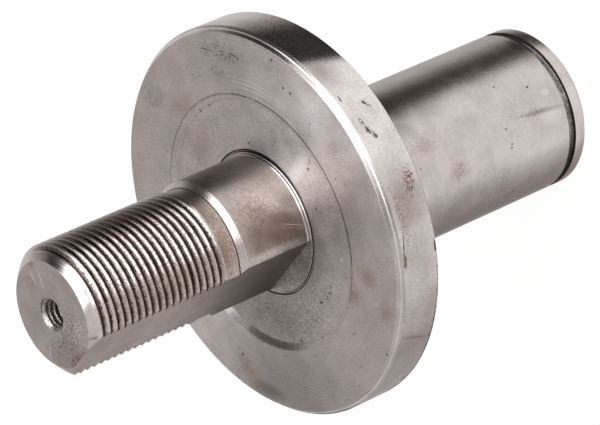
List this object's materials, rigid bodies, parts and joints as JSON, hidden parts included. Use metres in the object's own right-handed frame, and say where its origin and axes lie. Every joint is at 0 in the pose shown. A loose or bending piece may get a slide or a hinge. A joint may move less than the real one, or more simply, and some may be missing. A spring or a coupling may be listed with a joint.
{
  "type": "flanged stub shaft",
  "caption": "Turned steel flanged shaft: threaded end with a milled flat, recessed flange and a plain journal with a retaining-ring groove.",
  "frame": {"origin": "centre of the rear journal's flat end face, which it stands on", "axes": "+Z along the turning axis towards the threaded end, +X out of the milled flat"},
  "size_m": [0.072, 0.072, 0.1128],
  "materials": {
    "steel": "bare steel as turned and milled, with fine tool marks, light rust specks and stained thread roots"
  },
  "bodies": {
    "root": {"stub_shaft": "steel"}
  },
  "joints": []
}
